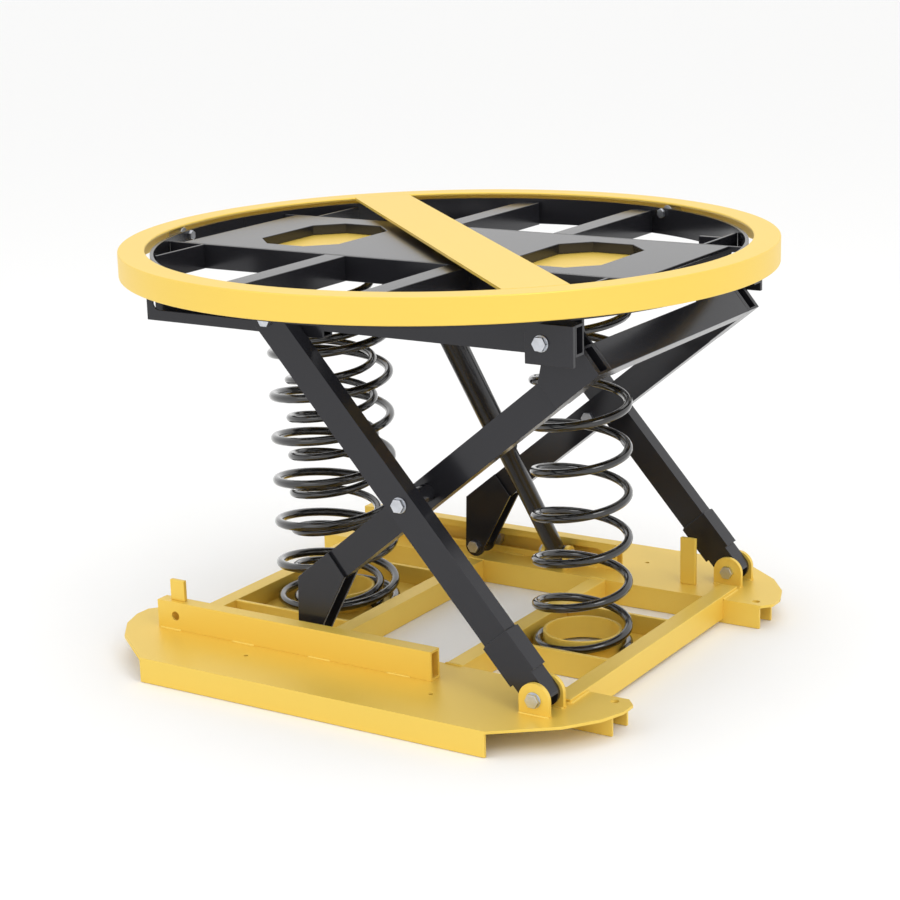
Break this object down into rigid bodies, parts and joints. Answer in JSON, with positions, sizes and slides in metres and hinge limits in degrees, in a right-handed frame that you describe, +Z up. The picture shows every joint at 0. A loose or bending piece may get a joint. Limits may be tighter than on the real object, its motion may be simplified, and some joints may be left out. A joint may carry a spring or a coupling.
{
  "type": "scissor lift table",
  "caption": "Low scissor lift table held up by coil springs, with rollers in guide rails, a side damper and a turning ring top for pallets.",
  "frame": {"origin": "on the floor under the centre of the ring top, table raised", "axes": "X along the side rails with the fixed leg pins at +X, Y across with the front rail at -Y, Z up"},
  "size_m": [1.1098, 1.11, 0.705],
  "materials": {
    "yellow_paint": "satin",
    "black_paint": "gloss",
    "zinc_steel": "satin",
    "roller_steel": "satin",
    "spring_black": "gloss",
    "damper_black": "satin"
  },
  "bodies": {
    "base": {"front_side_rail": "yellow_paint", "rear_side_rail": "yellow_paint", "cross_tubes": "yellow_paint", "right_end_cross_tube": "yellow_paint", "left_bay_bars": "yellow_paint", "right_bay_bars": "yellow_paint", "left_spring_seat": "yellow_paint", "right_spring_seat": "yellow_paint", "front_guide_tube": "yellow_paint", "rear_guide_tube": "yellow_paint", "stop_posts": "yellow_paint", "base_pivot_lugs": "yellow_paint", "base_pivot_bolts": "zinc_steel", "damper_lugs": "yellow_paint", "damper_base_bolt": "zinc_steel", "left_outer_spring": "spring_black", "left_inner_spring": "spring_black", "right_spring": "spring_black"},
    "front_outer_leg": {"front_outer_leg": "black_paint", "front_leg_fork": "black_paint", "front_upper_axle": "zinc_steel"},
    "rear_outer_leg": {"rear_outer_leg": "black_paint", "rear_leg_fork": "black_paint", "rear_upper_axle": "zinc_steel"},
    "inner_frame": {"front_inner_leg": "black_paint", "rear_inner_leg": "black_paint", "upper_cross_member": "black_paint", "foot_plates": "black_paint", "head_plates": "black_paint", "lower_roller_axles": "zinc_steel", "centre_pivot_bolts": "zinc_steel"},
    "front_upper_roller": {"front_upper_roller": "roller_steel"},
    "rear_upper_roller": {"rear_upper_roller": "roller_steel"},
    "front_lower_roller": {"front_lower_roller": "roller_steel"},
    "rear_lower_roller": {"rear_lower_roller": "roller_steel"},
    "top_frame": {"side_beams": "black_paint", "upper_roller_guides": "black_paint", "pivot_brackets": "black_paint", "top_pivot_bolts": "zinc_steel", "deck_plate": "black_paint", "deck_ribs": "black_paint", "end_ribs": "black_paint", "cross_beams": "black_paint", "support_hoop": "black_paint", "ring_roller_axles": "zinc_steel", "damper_bracket": "black_paint", "left_spring_cap": "yellow_paint", "right_spring_cap": "yellow_paint", "turntable_pin": "zinc_steel"},
    "turntable": {"turntable_ring": "yellow_paint", "crossbar": "yellow_paint"},
    "damper_body": {"damper_cylinder": "damper_black"},
    "damper_rod": {"damper_rod": "damper_black"},
    "ring_roller_1": {"ring_roller_1": "roller_steel"},
    "ring_roller_2": {"ring_roller_2": "roller_steel"},
    "ring_roller_3": {"ring_roller_3": "roller_steel"},
    "ring_roller_4": {"ring_roller_4": "roller_steel"},
    "ring_roller_5": {"ring_roller_5": "roller_steel"},
    "ring_roller_6": {"ring_roller_6": "roller_steel"}
  },
  "joints": [
    {"name": "lift", "type": "hinge", "parent": "base", "child": "front_outer_leg", "pos_m": [0.37, -0.352, 0.068], "axis": [0, -1, 0], "range_deg": [0, 40], "stiffness_Nm_per_rad": 1100, "springref_deg": -23.38, "deforming": ["left_outer_spring", "left_inner_spring", "right_spring"]},
    {"name": "rear_leg_swing", "type": "hinge", "parent": "base", "child": "rear_outer_leg", "pos_m": [0.37, 0.352, 0.068], "axis": [0, -1, 0], "range_deg": [0, 40.1]},
    {"name": "inner_frame_swing", "type": "hinge", "parent": "front_outer_leg", "child": "inner_frame", "pos_m": [0.12697, 0, 0.343], "axis": [0, 1, 0], "range_deg": [0, 80.1]},
    {"name": "top_frame_swing", "type": "hinge", "parent": "inner_frame", "child": "top_frame", "pos_m": [0.37, 0, 0.618], "axis": [0, -1, 0], "range_deg": [0, 40.1]},
    {"name": "turntable_spin", "type": "hinge", "parent": "top_frame", "child": "turntable", "pos_m": [0, 0, 0.7], "axis": [0, 0, 1], "continuous": true},
    {"name": "front_upper_roller_spin", "type": "hinge", "parent": "front_outer_leg", "child": "front_upper_roller", "pos_m": [-0.11606, -0.32, 0.618], "axis": [0, 1, 0], "continuous": true},
    {"name": "rear_upper_roller_spin", "type": "hinge", "parent": "rear_outer_leg", "child": "rear_upper_roller", "pos_m": [-0.11606, 0.32, 0.618], "axis": [0, 1, 0], "continuous": true},
    {"name": "front_lower_roller_spin", "type": "hinge", "parent": "inner_frame", "child": "front_lower_roller", "pos_m": [-0.11606, -0.32, 0.068], "axis": [0, 1, 0], "continuous": true},
    {"name": "rear_lower_roller_spin", "type": "hinge", "parent": "inner_frame", "child": "rear_lower_roller", "pos_m": [-0.11606, 0.32, 0.068], "axis": [0, 1, 0], "continuous": true},
    {"name": "damper_swing", "type": "hinge", "parent": "base", "child": "damper_body", "pos_m": [0.045, 0.282, 0.068], "axis": [1, 0, 0], "range_deg": [0, 38.6]},
    {"name": "damper_slide", "type": "slide", "parent": "damper_body", "child": "damper_rod", "axis": [0, -0.5948, 0.8038], "range_m": [-0.2635, 0]},
    {"name": "ring_roller_1_spin", "type": "hinge", "parent": "top_frame", "child": "ring_roller_1", "pos_m": [0.5121, 0.0903, 0.6868], "axis": [0.9848, 0.1736, 0], "continuous": true},
    {"name": "ring_roller_2_spin", "type": "hinge", "parent": "top_frame", "child": "ring_roller_2", "pos_m": [0.17785, 0.48864, 0.6868], "axis": [0.342, 0.9397, 0], "continuous": true},
    {"name": "ring_roller_3_spin", "type": "hinge", "parent": "top_frame", "child": "ring_roller_3", "pos_m": [-0.33425, 0.39834, 0.6868], "axis": [-0.6428, 0.766, 0], "continuous": true},
    {"name": "ring_roller_4_spin", "type": "hinge", "parent": "top_frame", "child": "ring_roller_4", "pos_m": [-0.5121, -0.0903, 0.6868], "axis": [-0.9848, -0.1736, 0], "continuous": true},
    {"name": "ring_roller_5_spin", "type": "hinge", "parent": "top_frame", "child": "ring_roller_5", "pos_m": [-0.17785, -0.48864, 0.6868], "axis": [-0.342, -0.9397, 0], "continuous": true},
    {"name": "ring_roller_6_spin", "type": "hinge", "parent": "top_frame", "child": "ring_roller_6", "pos_m": [0.33425, -0.39834, 0.6868], "axis": [0.6428, -0.766, 0], "continuous": true}
  ],
  "couplings": [
    {"joint": "rear_leg_swing", "follows": "lift", "ratio": 1},
    {"joint": "inner_frame_swing", "follows": "lift", "ratio": 2},
    {"joint": "top_frame_swing", "follows": "lift", "ratio": 1},
    {"joint": "damper_swing", "follows": "lift", "ratio": 0.96356},
    {"joint": "damper_slide", "follows": "lift", "m_per_rad": -0.37643}
  ]
}
